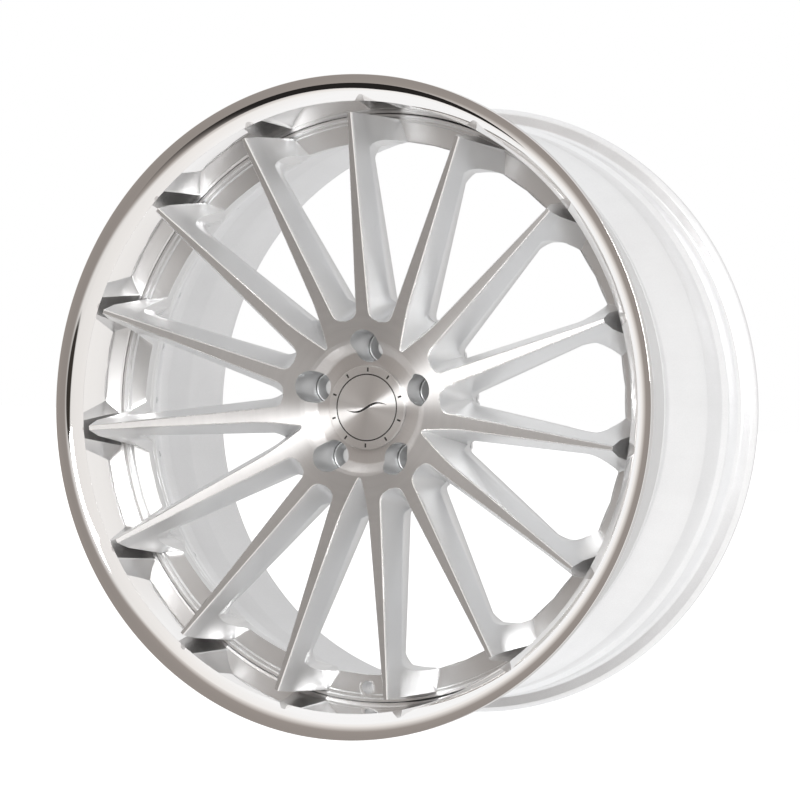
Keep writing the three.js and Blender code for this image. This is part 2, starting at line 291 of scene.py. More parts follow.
def turned_part(name, corners, finish_list, steps, arc_step=12.0, closed=True):
    """A piece turned from the rounded profile of its corners."""
    profile, runs = rounded(corners, arc_step)
    return turned(name, profile, runs, finish_list, steps, closed)


def at_angles(across, up, depth, angles):
    """One small shape, drawn straight up from the wheel axis, turned to each angle, in metres."""
    return [np.stack([
        across * math.cos(angle) + up * math.sin(angle),
        FRONT + depth,
        up * math.cos(angle) - across * math.sin(angle),
    ], -1).reshape(-1, 3) * MM for angle in angles]


def pins(name, rows, circle, angles, finish_list, finish_number, sides=48,
         lobes=0, lobe_depth=0.0, closed=False):
    """Round bars or rings along the wheel axis at several angles, as one mesh.

    Row k is (radius, depth). A bar's first and last rows have radius 0, a ring's rows are a
    closed profile. Each row's outline is radius (1 + lobe_depth cos(lobes a)) on rows marked
    with a third value of 1.
    """
    rows = np.array([row if len(row) == 3 else (*row, 0) for row in rows], float)
    a = np.linspace(0, 2 * math.pi, sides, endpoint=False)
    wave = 1 + lobe_depth * np.cos(lobes * a)
    out = rows[:, :1] * np.where(rows[:, 2:] > 0, wave[None, :], 1.0)
    depth = np.broadcast_to(rows[:, 1:2], out.shape)
    points = at_angles(out * np.sin(a), out * np.cos(a) + circle, depth, angles)
    cells = grid_quads(len(rows), sides, wrap_rows=closed, wrap_columns=True)
    faces = np.concatenate([cells + k * out.size for k in range(len(angles))])
    return piece_from(name, np.concatenate(points), faces, np.full(len(faces), finish_number),
                      finish_list)


def cut(piece, tool):
    """Mills the closed tool out of the piece and throws the tool away."""
    step = piece.modifiers.new("mill", "BOOLEAN")
    step.operation = "DIFFERENCE"
    step.solver = "MANIFOLD"
    step.object = tool
    bpy.context.view_layer.update()
    milled = piece.evaluated_get(bpy.context.evaluated_depsgraph_get())
    shaped = bpy.data.meshes.new_from_object(milled)
    piece.modifiers.clear()
    rough = piece.data
    if len(shaped.polygons) == len(rough.polygons):
        raise RuntimeError(f"{tool.name} took nothing off {piece.name}")
    shaped.name = piece.name
    piece.data = shaped
    bpy.data.meshes.remove(rough)
    bpy.data.objects.remove(tool)
    smooth_with_creases(piece.data)


def settle(piece, body, slot, *nodes):
    """Fixes the piece to its body and hides the CAD nodes it stands in for; the slot is not used."""
    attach(piece, body)
    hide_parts(*nodes)


# ---------------------------------------------------------------- finishes

def new_group(name, inputs, outputs):
    """An empty shader group with number inputs {label: default} and number outputs [label]."""
    group = bpy.data.node_groups.new(name, "ShaderNodeTree")
    for label, value in inputs.items():
        socket = group.interface.new_socket(name=label, in_out="INPUT", socket_type="NodeSocketFloat")
        socket.default_value = value
    for label in outputs:
        group.interface.new_socket(name=label, in_out="OUTPUT", socket_type="NodeSocketFloat")
    return group


class Net:
    """Places nodes in one tree: every call gives the new node, with its inputs linked or set."""

    def __init__(self, tree):
        self.tree = tree

    def add(self, kind, settings=None, **inputs):
        node = self.tree.nodes.new(kind)
        for key, value in (settings or {}).items():
            setattr(node, key, value)
        return self.wire(node, **inputs)

    def wire(self, node, **inputs):
        for key, value in inputs.items():
            self.feed(node.inputs[key.replace("_", " ")], value)
        return node

    def feed(self, socket, value):
        if isinstance(value, bpy.types.NodeSocket):
            self.tree.links.new(value, socket)
        else:
            socket.default_value = value

    def maths(self, operation, *values):
        node = self.tree.nodes.new("ShaderNodeMath")
        node.operation = operation
        for socket, value in zip(node.inputs, values):
            self.feed(socket, value)
        return node.outputs[0]

    def group(self, name, **inputs):
        node = self.tree.nodes.new("ShaderNodeGroup")
        node.node_tree = shared_group(name)
        return self.wire(node, **inputs)

    def place(self):
        return self.add("ShaderNodeTexCoord").outputs["Object"]

    def outward(self, operation):
        """The vector from the wheel axis to the shaded point, put through a vector operation."""
        flat = self.add("ShaderNodeVectorMath", {"operation": "MULTIPLY"})
        self.feed(flat.inputs[0], self.place())
        flat.inputs[1].default_value = (1, 0, 1)
        result = self.add("ShaderNodeVectorMath", {"operation": operation})
        self.feed(result.inputs[0], flat.outputs[0])
        return result

    def eased_rise(self, value, start, end, top=1.0):
        """0 where the value is at start, 'top' where it is at end, with a smooth step between."""
        step = self.add("ShaderNodeMapRange", {"interpolation_type": "SMOOTHSTEP"},
                        Value=value, From_Min=start, From_Max=end, To_Max=top)
        return step.outputs["Result"]

    def bump(self, shader, height, strength, distance):
        bump = self.add("ShaderNodeBump", Strength=strength, Distance=distance, Height=height)
        self.feed(shader.inputs["Normal"], bump.outputs[0])

    def blend(self, factor, first, second):
        node = self.tree.nodes.new("ShaderNodeMix")
        node.data_type = "RGBA"
        self.feed(node.inputs["Factor"], factor)
        self.feed(node.inputs["A"], first)
        self.feed(node.inputs["B"], second)
        return node.outputs["Result"]


def turning_marks_group():
    """Fine grooves left by the lathe: noise along the radius only, at two pitches."""
    group = new_group("turning_marks", {"Pitch": 0.4, "Softness": 0.5}, ["Height", "Tone"])
    net = Net(group)
    given = net.add("NodeGroupInput").outputs
    radius = net.outward("LENGTH").outputs["Value"]
    count = net.maths("DIVIDE", radius, net.maths("MULTIPLY", given["Pitch"], MM))
    along = {"noise_dimensions": "1D"}
    fine = net.add("ShaderNodeTexNoise", along, W=count, Scale=1.0, Detail=3.0,
                   Roughness=given["Softness"]).outputs[0]
    broad = net.add("ShaderNodeTexNoise", along, W=count, Scale=0.06, Detail=2.0).outputs[0]
    tone = net.maths("ADD", net.maths("MULTIPLY", fine, 0.5), net.maths("MULTIPLY", broad, 0.5))
    net.add("NodeGroupOutput", Height=fine, Tone=tone)
    return group


def metal_flake_group():
    """Flakes in the paint: small random cells, each a little lighter or darker."""
    group = new_group("metal_flake", {"Size": 0.5, "Strength": 0.5}, ["Tone", "Height"])
    net = Net(group)
    given = net.add("NodeGroupInput").outputs
    place = net.place()
    scale = net.maths("DIVIDE", 1.0 / MM, given["Size"])
    cells = net.add("ShaderNodeTexVoronoi", {"feature": "F1"}, Vector=place, Scale=scale)
    shade = net.add("ShaderNodeSeparateColor", Color=cells.outputs["Color"])
    cloud = net.add("ShaderNodeTexNoise", Vector=place, Scale=14.0, Detail=4.0)
    centred = net.maths("SUBTRACT", shade.outputs[0], 0.5)
    net.add("NodeGroupOutput",
            Tone=net.maths("MULTIPLY_ADD", centred, given["Strength"], cloud.outputs[0]),
            Height=net.maths("MULTIPLY", centred, given["Strength"]))
    return group


def handling_group():
    """Faint wipe marks and dust: stretched noise, nearly all of it close to zero."""
    group = new_group("handling_marks", {"Amount": 0.5, "Scale": 30.0}, ["Mask"])
    net = Net(group)
    given = net.add("NodeGroupInput").outputs
    smear = net.add("ShaderNodeTexNoise", Vector=net.place(), Scale=given["Scale"], Detail=6.0,
                    Distortion=0.8)
    lifted = net.maths("SUBTRACT", smear.outputs[0], 0.45)
    mask = net.maths("MULTIPLY", net.maths("MAXIMUM", lifted, 0.0), given["Amount"])
    net.add("NodeGroupOutput", Mask=mask)
    return group


def spun_streaks_group():
    """Radial streaks of a spun face: noise along the angle round the axis."""
    group = new_group("spun_streaks", {"Count": 60.0}, ["Tone"])
    net = Net(group)
    given = net.add("NodeGroupInput").outputs
    parts = net.add("ShaderNodeSeparateXYZ", Vector=net.place()).outputs
    angle = net.maths("ARCTAN2", parts["X"], parts["Z"])
    streak = net.add("ShaderNodeTexNoise", {"noise_dimensions": "1D"}, Scale=1.0, Detail=4.0,
                     W=net.maths("MULTIPLY", angle, given["Count"]))
    net.add("NodeGroupOutput", Tone=streak.outputs[0])
    return group


def shared_group(name):
    """The shader group of that name, built the first time it is asked for."""
    makers = {
        "turning_marks": turning_marks_group,
        "metal_flake": metal_flake_group,
        "handling_marks": handling_group,
        "spun_streaks": spun_streaks_group,
    }
    return bpy.data.node_groups.get(name) or makers[name]()


def new_finish(name):
    """A new material, the helper for its nodes and its Principled shader."""
    material = bpy.data.materials.new(name)
    material.use_nodes = True
    shader = material.node_tree.nodes["Principled BSDF"]
    return material, Net(material.node_tree), shader


def scaled(colour, factor):
    return (*(min(1.0, c * factor) for c in colour), 1.0)


def alloy_finish(name, pitch, softness, tints, rough, wipe=None, streaks=None, grooves=None):
    """Bare alloy with lathe marks: their tone shifts its colour and its roughness.

    Roughness is rough[0] + rough[1] tone, plus the wipe marks (amount, scale). 'streaks' is a
    number of radial streaks that mix into the tone. 'grooves', a depth in mm, spreads the
    highlights in the direction away from the axis, across the lathe's grooves.
    """
    material, net, shader = new_finish(name)
    marks = net.group("turning_marks", Pitch=pitch, Softness=softness).outputs
    tone = marks["Tone"]
    if streaks:
        radial = net.group("spun_streaks", Count=streaks).outputs["Tone"]
        tone = net.maths("ADD", net.maths("MULTIPLY", tone, 0.4),
                         net.maths("MULTIPLY", radial, 0.6))
    roughness = net.maths("MULTIPLY_ADD", tone, rough[1], rough[0])
    if wipe:
        mask = net.group("handling_marks", Amount=wipe[0], Scale=wipe[1]).outputs["Mask"]
        roughness = net.maths("ADD", roughness, mask)
    low, high = (scaled(finishes().alloy, tint) for tint in tints)
    net.wire(shader, Base_Color=net.blend(tone, low, high), Roughness=roughness, Metallic=1.0)
    if grooves:
        net.bump(shader, marks["Height"], 0.03, grooves * MM)
        net.wire(shader, Anisotropic=1.0, Tangent=net.outward("NORMALIZE").outputs[0])
    return material


def silver_paint(name, streaked, metallic):
    """Silver metallic paint under a clear coat; 'streaked' is how far it darkens in random streaks
    round the axis.
    """
    material, net, shader = new_finish(name)
    flake = net.group("metal_flake", Size=0.55, Strength=0.5).outputs
    wipe = net.group("handling_marks", Amount=0.25, Scale=20.0).outputs
    streaks = net.group("spun_streaks", Count=18.0).outputs
    paint = finishes().paint
    tone = net.blend(flake["Tone"], scaled(paint, 0.94), scaled(paint, 1.06))
    veil = net.maths("MULTIPLY", streaks["Tone"], streaked)
    net.bump(shader, flake["Height"], 0.06, 0.08 * MM)
    net.wire(shader, Base_Color=net.blend(veil, tone, scaled(paint, 0.5)),
             Roughness=net.maths("ADD", 0.34, wipe["Mask"]), Metallic=metallic,
             Coat_Weight=0.25, Coat_Roughness=0.18)
    return material


def plain_finish(name, low, high, rough, metallic, grain):
    """A mottled finish between two colours, for the small hardware and mouldings."""
    material, net, shader = new_finish(name)
    wipe = net.group("handling_marks", Amount=1.0, Scale=grain).outputs
    flake = net.group("metal_flake", Size=0.3, Strength=0.6).outputs
    net.bump(shader, flake["Height"], 0.1, 0.06 * MM)
    net.wire(shader, Base_Color=net.blend(flake["Tone"], (*low, 1), (*high, 1)),
             Roughness=net.maths("ADD", rough, wipe["Mask"]), Metallic=metallic)
    return material


ALLOYS = {
    "turned_face": dict(pitch=0.35, softness=0.6, tints=(0.93, 1.05), rough=(0.48, 0.06),
                        wipe=(0.15, 24.0), grooves=0.05),
    "spun_face": dict(pitch=0.12, softness=0.5, tints=(0.93, 1.03), rough=(0.34, 0.03),
                      streaks=26.0, grooves=0.03),
    "polished_alloy": dict(pitch=0.8, softness=0.4, tints=(0.97, 1.01), rough=(0.02, 0.02),
                           wipe=(0.05, 18.0)),
}
PAINTS = {
    # how far the paint darkens in random streaks round the axis, metallic
    "silver_paint": (0.0, 0.25),
    "barrel_paint": (0.06, 0.6),
}
PLAIN = {
    # darker colour, lighter colour, roughness, metallic, grain of the wipe marks
    "bright_edge": ((0.93, 0.92, 0.91), (0.97, 0.96, 0.95), 0.16, 1.0, 60.0),
    "zinc_steel": ((0.50, 0.51, 0.53), (0.68, 0.68, 0.68), 0.28, 1.0, 60.0),
    "spring_steel": ((0.42, 0.42, 0.43), (0.55, 0.55, 0.56), 0.25, 1.0, 60.0),
    "black_nylon": ((0.012, 0.012, 0.013), (0.025, 0.025, 0.026), 0.5, 0.0, 60.0),
    "seal_rubber": ((0.010, 0.010, 0.010), (0.018, 0.018, 0.018), 0.7, 0.0, 60.0),
}


def finish(name):
    """The finish of that name, built the first time it is asked for."""
    built = bpy.data.materials.get(name)
    if built:
        return built
    if name in ALLOYS:
        return alloy_finish(name, **ALLOYS[name])
    if name in PAINTS:
        return silver_paint(name, *PAINTS[name])
    if name == "black_fill":
        dark = tuple(finishes().dark)
        return plain_finish(name, dark, scaled(dark, 2.0)[:3], 0.45, 0.0, 40.0)
    return plain_finish(name, *PLAIN[name])


def finish_set(*names):
    return [finish(name) for name in names]


# ---------------------------------------------------------------- shape of the forged centre

def smooth_min(a, b, reach):
    """The smaller of two values, with the corner between them eased over 'reach'."""
    ease = np.maximum(reach - np.abs(a - b), 0) / reach
    return np.minimum(a, b) - ease * ease * reach / 4


def face_depth(radius):
    return TIP_DEPTH + FACE_SLOPE * (END_RADIUS - radius)


def inward(radius):
    """Distance from the spoke's end towards the hub; a spoke runs on unchanged past its end."""
    return np.maximum(END_RADIUS - radius, 0)


def face_half(radius):
    return sizes().face_half_width / MM + sizes().face_taper * inward(radius)


def flank_height(radius):
    return SHOULDER_DROP + SHOULDER_GROWTH * inward(radius)


def shoulder_half(radius):
    return face_half(radius) + sizes().flank_lean * flank_height(radius)


def back_depth(radius):
    """Depth of a spoke's back, which follows its face but comes closer to it at the end."""
    return (face_depth(radius) + flank_height(radius)
            + SIDE_HEIGHT + SIDE_GROWTH * inward(radius) + BACK_ROUNDING)


def root_of(field, radius, low, high):
    """The across value where a rising field crosses zero at each radius, by halving."""
    low, high = np.array(low, float), np.array(high, float)
    for _ in range(40):
        middle = (low + high) / 2
        below = field(middle, radius) < 0
        low = np.where(below, middle, low)
        high = np.where(below, high, middle)
    return (low + high) / 2


VALLEYS = {
    # start radius, corner reach, widening of the face at the hub, where that widening ends
    "wide": (80.0, 9.0, 0.0, 110.0),
    "deep": (61.5, 2.0, 5.6, 108.0),
}
FLOOR_ABOVE_BACK = 4.0       # the valley's floor lies this far above the spokes' backs
HUB_SLOPE = 1.15             # the floor drops this much per mm away from the hub
HUB_SLOPE_FROM = (66.0, 50.0)
HUB_FLOOR_LIMIT = 84.0
HUB_SLOPE_END = 125.0        # radius where the hub's slope gives way to the spokes' backs
FOOT_START = 215.0           # from here on a steeper foot joins the flank to the ring
FOOT_HALF = 16.0             # half width of the foot at the pocket's edge
FOOT_GROWTH = 0.47
FLOOR_EASE_RADII = (60, 75, 190, FOOT_START, RING_INNER)
FLOOR_EASE = (1.0, 5.0, 5.0, 1.0, 1.6)
RING_FLOOR_RADII = (RING_FOOT, RING_STEP_RADIUS, 241.0, RING_INNER, POCKET_EDGE,
                    262.9, 264.3, 264.7)


def valley_field(kind):
    """Distance from the turned face's edge out into the valley, as a function (across, radius)."""
    start, reach, widening, end = VALLEYS[kind]

    def field(across, radius):
        spread = widening * np.clip((end - radius) / (end - start), 0, 1) ** 1.5
        return smooth_min(across - face_half(radius) - spread, radius - start, reach)

    return field


def valley_floor(radius):
    """How deep the mill may go: the hub's slope, the spokes' backs, then the ring's pocket."""
    hub = HUB_SLOPE_FROM[1] + HUB_SLOPE * (radius - HUB_SLOPE_FROM[0])
    between = back_depth(radius) - FLOOR_ABOVE_BACK
    ring = np.interp(radius, RING_FLOOR_RADII,
                     [back_depth(RING_FOOT) - FLOOR_ABOVE_BACK, 47.0, 66.0,
                      POCKET_DEPTH, POCKET_DEPTH, GROOVE_DEPTH, GROOVE_DEPTH, 66.0])
    level = np.where(radius < HUB_SLOPE_END, np.minimum(hub, HUB_FLOOR_LIMIT), between)
    return np.where(radius < RING_FOOT, level, ring)


def foot_steepness(radius):
    """Drop per mm across of the foot that joins a spoke to the ring, below its flank."""
    foot_half = FOOT_HALF + FOOT_GROWTH * np.maximum(POCKET_EDGE - radius, 0)
    foot_drop = POCKET_DEPTH - face_depth(np.minimum(radius, END_RADIUS)) - flank_height(radius)
    steep = foot_drop / np.maximum(foot_half - shoulder_half(radius), 1.0)
    flank = 1 / sizes().flank_lean
    return np.where(radius > FOOT_START, np.maximum(steep, flank), flank)


def broken_edge():
    return sizes().edge_break / MM


def crease_lines(radius):
    """Across values of the flank's lower edge and of the line where the floor is reached."""
    height = valley_floor(radius) - face_depth(np.minimum(radius, END_RADIUS)) - broken_edge()
    below = height - flank_height(radius)
    shoulder = shoulder_half(radius)
    on_foot = shoulder + below / foot_steepness(radius)
    on_flank = face_half(radius) + height * sizes().flank_lean
    floor_line = np.where(below > 0, on_foot, on_flank)
    return np.minimum(shoulder, floor_line), np.maximum(shoulder, floor_line)


def valley_depth(kind, across, radius):
    """Depth of the milled surface: the flank, then the foot's steeper side, then the floor."""
    q = np.maximum(valley_field(kind)(across, radius), 0)
    lean = sizes().flank_lean
    shoulder = flank_height(radius)
    beyond = q - lean * shoulder
    height = np.where(beyond > 0, shoulder + beyond * foot_steepness(radius), q / lean)
    base = face_depth(np.minimum(radius, END_RADIUS)) + broken_edge() + height
    reach = np.interp(radius, FLOOR_EASE_RADII, FLOOR_EASE)
    return smooth_min(base, valley_floor(radius), reach)


def eased(start, end, count, power):
    """Values from start to end, packed towards the start."""
    return start + (end - start) * np.linspace(0, 1, count) ** power


def valley_tool(kind, angles):
    """The milled-out space between two spokes, above the valley's surface.

    Row i runs at one radius from the lid above the valley's middle line out to the face's edge,
    down its broken edge and flank, and along the valley floor back to the middle line; the
    other half is its mirror image.
    """
    start = VALLEYS[kind][0]
    radius = np.concatenate([
        eased(start, start + 24, 26, 2.0),
        np.linspace(start + 24, RING_FOOT, 40)[1:],
        np.linspace(RING_FOOT, RING_STEP_RADIUS, 9)[1:],
        np.linspace(RING_STEP_RADIUS, RING_INNER, 9)[1:],
        np.linspace(RING_INNER, 261.5, 10)[1:],
        np.array([POCKET_EDGE, 262.9, 263.0, 263.5, 264.3, 264.7, 267.0, 272.0]),
    ])[:, None]
    middle = HALF_PITCH * radius
    edge = root_of(valley_field(kind), radius, np.zeros_like(radius), middle)
    edge[0] = middle[0]
    face = face_depth(np.minimum(radius, END_RADIUS))
    lift = 0.8                   # the tool's broken edge runs on this far above the face
    lid = -14.0
    rim = edge - broken_edge() - lift
    first, second = crease_lines(radius)
    first = np.clip(first, edge + 0.10 * (middle - edge), edge + 0.60 * (middle - edge))
    second = np.clip(second, first + 0.08 * (middle - first), first + 0.80 * (middle - first))
    u = np.linspace(0, 1, 7)[None, :]
    surface = np.concatenate([
        edge + (first - edge) * u,
        first + (second - first) * u[:, 1:],
        second + (middle - second) * u[:, 1:] ** 1.6,
    ], 1)
    across = np.concatenate([middle, rim, rim, surface], 1)
    depth = np.concatenate([
        np.full_like(radius, lid),
        np.full_like(radius, lid),
        face - lift,
        valley_depth(kind, surface, radius),
    ], 1)
    out = np.broadcast_to(radius, across.shape).copy()
    out[0, :3] -= broken_edge() + lift
    across[0, :3] = HALF_PITCH * out[0, :3]
    return mirrored_tool(f"valley_{kind}", across, depth, out, angles, painted_from=3)


CENTRE_FINISHES = ("turned_face", "silver_paint", "spun_face", "bright_edge")
FACE, PAINT, SPUN, EDGE = range(len(CENTRE_FINISHES))


def mirrored_tool(name, across, depth, radius, angles, painted_from=0):
    """A closed tool at each angle: half its surface as a grid, and that half's mirror image.

    The grid's first and last columns lie on the middle line between two spokes, and its last
    row, unless it lies there too, is closed by a fan. The cells before column 'painted_from'
    take the broken edge's finish and all others the paint.
    """
    rows, columns = across.shape
    offset = across / radius
    column_of_cell = np.tile(np.arange(columns - 1), rows - 1)
    tones = np.where(column_of_cell < painted_from, EDGE, PAINT)
    cells = grid_quads(rows, columns)
    size = rows * columns
    fanned = painted_from > 0
    if fanned:
        first = size - columns + np.arange(columns - 1)
        tip = np.full(columns - 1, size)
        cells = np.concatenate([cells, np.stack([first, first + 1, tip, tip], 1)])
        tones = np.concatenate([tones, np.full(columns - 1, PAINT)])
        size += 1
    points, faces = [], []
    for angle in angles:
        for side in (-1, 1):
            faces.append(cells + len(faces) * size)
            turn = angle + side * (HALF_PITCH - offset)
            points.append(on_wheel(radius, turn, depth).reshape(-1, 3))
            if fanned:
                tip_depth = (depth[-1, 0] + depth[-1, -1]) / 2
                points.append(on_wheel(radius[-1, 0], angle, tip_depth).reshape(-1, 3))
    corners = [face[:3] if face[2] == face[3] else face
               for face in np.concatenate(faces).tolist()]
    return mesh_object(name, np.concatenate(points), corners, np.tile(tones, len(faces)),
                       finish_set(*CENTRE_FINISHES), TOOL_WELD, watertight=True)


def window_field(across, radius):
    """Distance into the window from its outline: spoke sides, hub end and ring end."""
    side = across - shoulder_half(radius)
    ends = smooth_min(radius - WINDOW_START, RING_INNER - radius, 1.0)
    reach = np.interp(radius, [WINDOW_START, 150, 200, RING_INNER], [8.0, 8.0, 16.0, 16.0])
    return smooth_min(side, ends, reach)


def window_tool(angles):
    """The window between two spokes: its outline carried through the wheel.

    The outline is where the window field is zero. Going inwards the walls close in slightly,
    and at the spokes' backs they open out again to round the rear edges.
    """
    length = RING_INNER - WINDOW_START
    t = np.linspace(0, 1, 72)
    blend = 0.5 - 0.5 * np.cos(math.pi * t)
    radius = WINDOW_START + length * (0.35 * blend + 0.65 * (0.5 - 0.5 * np.cos(math.pi * blend)))
    radius = np.clip(radius, WINDOW_START + 0.004, RING_INNER - 0.004)
    radius[0] = WINDOW_START
    radius[-1] = RING_INNER
    middle = HALF_PITCH * radius
    edge = root_of(window_field, radius, np.zeros_like(radius), middle)
    edge[0] = middle[0]
    edge[-1] = middle[-1]
    at_ring = np.interp(radius, [RING_FOOT, RING_STEP_RADIUS, 241.0, 243.0],
                        [back_depth(RING_FOOT), 52.0, 74.0, RING_BACK])
    back = np.where(radius < RING_FOOT, back_depth(radius), at_ring)
    run_s, run_r = np.gradient(edge), np.gradient(radius)
    run = np.hypot(run_s, run_r)
    out_s, out_r = -run_r / run, run_s / run
    out_s[0], out_r[0] = 0.0, -1.0
    out_s[-1], out_r[-1] = 0.0, 1.0
    lid = np.full_like(radius, -15.0)
    levels = [(lid, 0.0), (back - 5.0, -0.5), (back - 1.6, 0.4), (back - 0.4, 1.6),
              (back + 1.2, 4.2), (np.full_like(radius, THROUGH), 4.2)]
    across = np.stack([middle, *(edge + out_s * open_out for _, open_out in levels), middle], 1)
    out = np.stack([radius, *(radius + out_r * open_out for _, open_out in levels), radius], 1)
    depth = np.stack([lid, *(level for level, _ in levels), levels[-1][0]], 1)
    across[0, :] = HALF_PITCH * out[0, :]
    across[-1, :] = HALF_PITCH * out[-1, :]
    return mirrored_tool("windows", across, depth, out, angles)


def centre_blank():
    """The turned forging: street face, spoke ends, ring, back and bore as one closed profile."""
    corners = [
        (CAP_BORE, HUB_FLOOR_DEPTH, 0.3, SPUN),
        (HUB_FLOOR_RADIUS, HUB_FLOOR_DEPTH, 3.2, SPUN),
        (59.6, 50.6, 3.0, FACE),
        (HUB_RIM, face_depth(HUB_RIM) - 0.3, 1.6, FACE),
        (END_RADIUS, TIP_DEPTH, 0.35, PAINT),
        (END_FOOT_RADIUS, GROOVE_DEPTH, 0.5, PAINT),
        (265.6, 75.4, 0.5, PAINT),
        (266.0, 72.9, 0.5, PAINT),
        (RING_RADIUS, 72.4, 0.5, PAINT),
        (RING_RADIUS, RING_BACK, 0.4, PAINT),
        (243.0, RING_BACK, 0.8, PAINT),
        (241.0, 74.0, 6.0, PAINT),
        (RING_STEP_RADIUS, 52.0, 8.0, PAINT),
        (228.0, back_depth(RING_FOOT) - 0.5, 8.0, PAINT),
        (102.0, back_depth(102.0), 8.0, PAINT),
        (94.0, 98.0, 3.0, PAINT),
        (79.0, 106.0, 3.0, PAINT),
        (75.0, PAD_DEPTH, 0.6, PAINT),
        (REAR_BORE + 2, PAD_DEPTH, 0.2, PAINT),
        (REAR_BORE, PAD_DEPTH - 2, 0.2, PAINT),
        (REAR_BORE, REAR_BORE_DEPTH, 0.1, PAINT),
        (CAP_BORE, REAR_BORE_DEPTH, 0.2, PAINT),
    ]
    return turned_part("forged_centre", corners, finish_set(*CENTRE_FINISHES), 360, 15.0)


def angles_of(nodes):
    return [place_on_wheel(node)[1] for node in nodes]


class WHEEL_OT_forged_centre(bpy.types.Operator):
    """Turn the blank of the forged centre and mill its valleys, windows, pockets and holes"""
    bl_idname = "wheel.forged_centre"
    bl_label = "Forged centre"

    def execute(self, context):
        centre = centre_blank()
        lugs = angles_of(SEAT_NODES)
        beside_lug = [a + side * HALF_PITCH for a in lugs for side in (-1, 1)]
        cut(centre, valley_tool("wide", beside_lug))
        cut(centre, valley_tool("deep", [a + math.pi for a in lugs]))
        cut(centre, window_tool([HALF_PITCH * (1 + 2 * k) for k in range(SPOKE_COUNT)]))
        pocket = [(0, -5), (LUG_POCKET_RADIUS, -5), (LUG_POCKET_RADIUS, LUG_POCKET_DEPTH - 2),
                  (LUG_POCKET_RADIUS - 1.4, LUG_POCKET_DEPTH), (LUG_HOLE_RADIUS, LUG_POCKET_DEPTH),
                  (LUG_HOLE_RADIUS, 120), (0, 120)]
        bolt = [(0, 80.4), (3.2, 80.6), (3.55, 82.0), (3.55, 95.0), (0, 95.0)]
        valve = [(0, 60), (8.0, 60), (8.0, POCKET_DEPTH + 0.5), (VALVE_RADIUS, POCKET_DEPTH + 0.9),
                 (VALVE_RADIUS, 120), (0, 120)]
        holes = [
            ("lug_pockets", pocket, LUG_CIRCLE, lugs, 72),
            ("bolt_holes", bolt, BOLT_CIRCLE, angles_of(BOLT_NODES), 24),
            ("valve_hole", valve, VALVE_CIRCLE, [math.pi], 48),
        ]
        for name, rows, circle, angles, sides in holes:
            tool = pins(name, rows, circle, angles, finish_set(*CENTRE_FINISHES), PAINT, sides)
            cut(centre, tool)
        settle(centre, RIM_BODY, "machined_face", "wheel_centre")
        return {"FINISHED"}


# ---------------------------------------------------------------- rim halves and hardware

JOINT_BORE = 246.0           # the halves are bolted together between these two radii
JOINT_RADIUS = 274.5
SEAL_GROOVE = (266.7, 269.7)
HUMP_RADIUS = 281.2          # safety hump
LIP_RADIUS = 295.5           # where the convex lip starts, at the flange
LIP_ROUNDING = 22.0
LIP_TURN = math.radians(38)
SEAT_RADIUS = 279.4          # bead seat beside the hump, rising to the flange
SEAT_END = 280.0


def drill_half(half, from_depth, to_depth, finish_list):
    """Drills the bolt holes and the valve hole through one rim half."""
    bolt = [(0, from_depth), (3.7, from_depth), (3.7, to_depth), (0, to_depth)]
    angles = angles_of(BOLT_NODES)
    cut(half, pins("flange_holes", bolt, BOLT_CIRCLE, angles, finish_list, 1, 24))
    valve = [(0, 60), (VALVE_RADIUS, 60), (VALVE_RADIUS, 120), (0, 120)]
    cut(half, pins("valve_cut", valve, VALVE_CIRCLE, [math.pi], finish_list, 1, 48))


def lip_roll(radius, depth, rounding, turn, finish_number):
    """Corners along an arc that starts square to the axis and turns inwards and back."""
    angles = np.linspace(0, turn, 15)
    out = radius - rounding * np.sin(angles)
    down = depth + rounding * (1 - np.cos(angles))
    return [(float(r), float(d), 0.0, finish_number) for r, d in zip(out, down)]


class WHEEL_OT_outer_half(bpy.types.Operator):
    """Turn the polished outer rim half with its lip, crease and mirror wall"""
    bl_idname = "wheel.outer_half"
    bl_label = "Outer rim half"

    def execute(self, context):
        polish, paint = 0, 1
        low, high = depth_span("outer_rim_half")
        inner = RING_RADIUS + 0.3
        groove_floor = high - 1.6
        corners = [
            (FLANGE_RADIUS, low, 1.5, polish),
            *lip_roll(LIP_RADIUS, low, LIP_ROUNDING, LIP_TURN, polish),
            (274.0, 12.0, 0.8, polish),
            (inner, 72.0, 0.0, polish),
            (inner, 88.0, 0.6, paint),
            (JOINT_BORE, 88.0, 0.5, paint),
            (JOINT_BORE, high, 0.3, paint),
            (SEAL_GROOVE[0], high, 0.1, paint),
            (SEAL_GROOVE[0], groove_floor, 0.1, paint),
            (SEAL_GROOVE[1], groove_floor, 0.1, paint),
            (SEAL_GROOVE[1], high, 0.1, paint),
            (JOINT_RADIUS, high, 0.5, paint),
            (JOINT_RADIUS, 60.0, 10.0, paint),
            (HUMP_RADIUS, 42.0, 4.0, paint),
            (HUMP_RADIUS, 38.0, 2.0, paint),
            (SEAT_RADIUS, 34.0, 3.0, paint),
            (SEAT_END, 16.0, 5.0, paint),
            (283.0, 12.15, 3.0, polish),
            (292.0, 11.15, 3.0, polish),
            (FLANGE_RADIUS, 8.0, 3.0, polish),
        ]
        finish_list = finish_set("polished_alloy", "silver_paint")
        half = turned_part("polished_outer_half", corners, finish_list, sizes().rim_steps, 9.0)
        drill_half(half, 80, high + 5, finish_list)
        settle(half, RIM_BODY, "polished_lip", "outer_rim_half")
        return {"FINISHED"}


